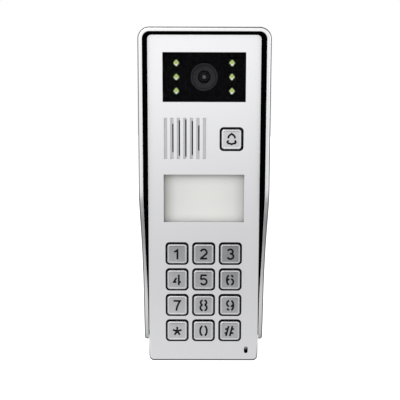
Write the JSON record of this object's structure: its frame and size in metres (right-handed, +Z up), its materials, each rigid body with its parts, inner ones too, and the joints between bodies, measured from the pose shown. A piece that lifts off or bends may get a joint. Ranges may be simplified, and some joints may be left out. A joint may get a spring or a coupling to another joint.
{
  "type": "door intercom panel",
  "caption": "Slim wall-mounted door intercom station with rain hood, camera window, speaker slots, call button, name window and numeric keypad.",
  "frame": {"origin": "middle of the wall plate's rear face, which bears on the wall", "axes": "+Z up, -Y out of the front face, +Y into the wall, +X to the right as seen from the front"},
  "size_m": [0.0934, 0.0533, 0.2516],
  "materials": {
    "panel_aluminium": "satin, fine grain",
    "hood_aluminium": "satin, streaked grain",
    "key_metal": "satin zinc alloy",
    "black_plastic": "fine moulded texture",
    "housing_metal": "cast, satin",
    "zinc_steel": "zinc plated",
    "liner_black": "matte",
    "smoked_glass": "polished, smoked",
    "lens_glass": "coated lens",
    "lamp_resin": "clear tinted resin",
    "name_acrylic": "frosted, translucent",
    "card": "uncoated",
    "circuit_board": "solder mask",
    "terminal_green": "moulded",
    "relay_blue": "moulded",
    "silicone": "matte silicone",
    "seal_rubber": "matte",
    "cone_paper": "pressed fibre"
  },
  "bodies": {
    "station": {"front_panel": "panel_aluminium", "speaker_baffle": "panel_aluminium", "rain_hood": "hood_aluminium", "camera_mask": "black_plastic", "lens_barrel": "black_plastic", "speaker_frame": "black_plastic", "call_switch": "black_plastic", "back_housing": "housing_metal", "wall_plate": "zinc_steel", "security_screw_left": "zinc_steel", "security_screw_right": "zinc_steel", "microphone": "zinc_steel", "hood_liner": "liner_black", "camera_window": "smoked_glass", "lens_glass": "lens_glass", "lamp_1": "lamp_resin", "lamp_2": "lamp_resin", "lamp_3": "lamp_resin", "lamp_4": "lamp_resin", "lamp_5": "lamp_resin", "lamp_6": "lamp_resin", "name_window": "name_acrylic", "name_card": "card", "backlight_board": "circuit_board", "camera_board": "circuit_board", "keypad_board": "circuit_board", "main_board": "circuit_board", "terminal_block": "terminal_green", "relay": "relay_blue", "keypad_mat": "silicone", "cable_grommet": "seal_rubber", "panel_gasket": "seal_rubber", "microphone_boot": "seal_rubber", "speaker_cone": "cone_paper"},
    "key_1": {"key_1": "key_metal", "stem_1": "black_plastic"},
    "key_2": {"key_2": "key_metal", "stem_2": "black_plastic"},
    "key_3": {"key_3": "key_metal", "stem_3": "black_plastic"},
    "key_4": {"key_4": "key_metal", "stem_4": "black_plastic"},
    "key_5": {"key_5": "key_metal", "stem_5": "black_plastic"},
    "key_6": {"key_6": "key_metal", "stem_6": "black_plastic"},
    "key_7": {"key_7": "key_metal", "stem_7": "black_plastic"},
    "key_8": {"key_8": "key_metal", "stem_8": "black_plastic"},
    "key_9": {"key_9": "key_metal", "stem_9": "black_plastic"},
    "key_star": {"key_star": "key_metal", "stem_star": "black_plastic"},
    "key_0": {"key_0": "key_metal", "stem_0": "black_plastic"},
    "key_hash": {"key_hash": "key_metal", "stem_hash": "black_plastic"},
    "call_button": {"call_button": "key_metal", "stem_call": "black_plastic"}
  },
  "joints": [
    {"name": "key_1_press", "type": "slide", "parent": "station", "child": "key_1", "axis": [0, 1, 0], "range_m": [0, 0.001], "stiffness_N_per_m": 400, "springref_m": -0.003},
    {"name": "key_2_press", "type": "slide", "parent": "station", "child": "key_2", "axis": [0, 1, 0], "range_m": [0, 0.001], "stiffness_N_per_m": 400, "springref_m": -0.003},
    {"name": "key_3_press", "type": "slide", "parent": "station", "child": "key_3", "axis": [0, 1, 0], "range_m": [0, 0.001], "stiffness_N_per_m": 400, "springref_m": -0.003},
    {"name": "key_4_press", "type": "slide", "parent": "station", "child": "key_4", "axis": [0, 1, 0], "range_m": [0, 0.001], "stiffness_N_per_m": 400, "springref_m": -0.003},
    {"name": "key_5_press", "type": "slide", "parent": "station", "child": "key_5", "axis": [0, 1, 0], "range_m": [0, 0.001], "stiffness_N_per_m": 400, "springref_m": -0.003},
    {"name": "key_6_press", "type": "slide", "parent": "station", "child": "key_6", "axis": [0, 1, 0], "range_m": [0, 0.001], "stiffness_N_per_m": 400, "springref_m": -0.003},
    {"name": "key_7_press", "type": "slide", "parent": "station", "child": "key_7", "axis": [0, 1, 0], "range_m": [0, 0.001], "stiffness_N_per_m": 400, "springref_m": -0.003},
    {"name": "key_8_press", "type": "slide", "parent": "station", "child": "key_8", "axis": [0, 1, 0], "range_m": [0, 0.001], "stiffness_N_per_m": 400, "springref_m": -0.003},
    {"name": "key_9_press", "type": "slide", "parent": "station", "child": "key_9", "axis": [0, 1, 0], "range_m": [0, 0.001], "stiffness_N_per_m": 400, "springref_m": -0.003},
    {"name": "key_star_press", "type": "slide", "parent": "station", "child": "key_star", "axis": [0, 1, 0], "range_m": [0, 0.001], "stiffness_N_per_m": 400, "springref_m": -0.003},
    {"name": "key_0_press", "type": "slide", "parent": "station", "child": "key_0", "axis": [0, 1, 0], "range_m": [0, 0.001], "stiffness_N_per_m": 400, "springref_m": -0.003},
    {"name": "key_hash_press", "type": "slide", "parent": "station", "child": "key_hash", "axis": [0, 1, 0], "range_m": [0, 0.001], "stiffness_N_per_m": 400, "springref_m": -0.003},
    {"name": "call_button_press", "type": "slide", "parent": "station", "child": "call_button", "axis": [0, 1, 0], "range_m": [0, 0.001], "stiffness_N_per_m": 400, "springref_m": -0.003}
  ]
}
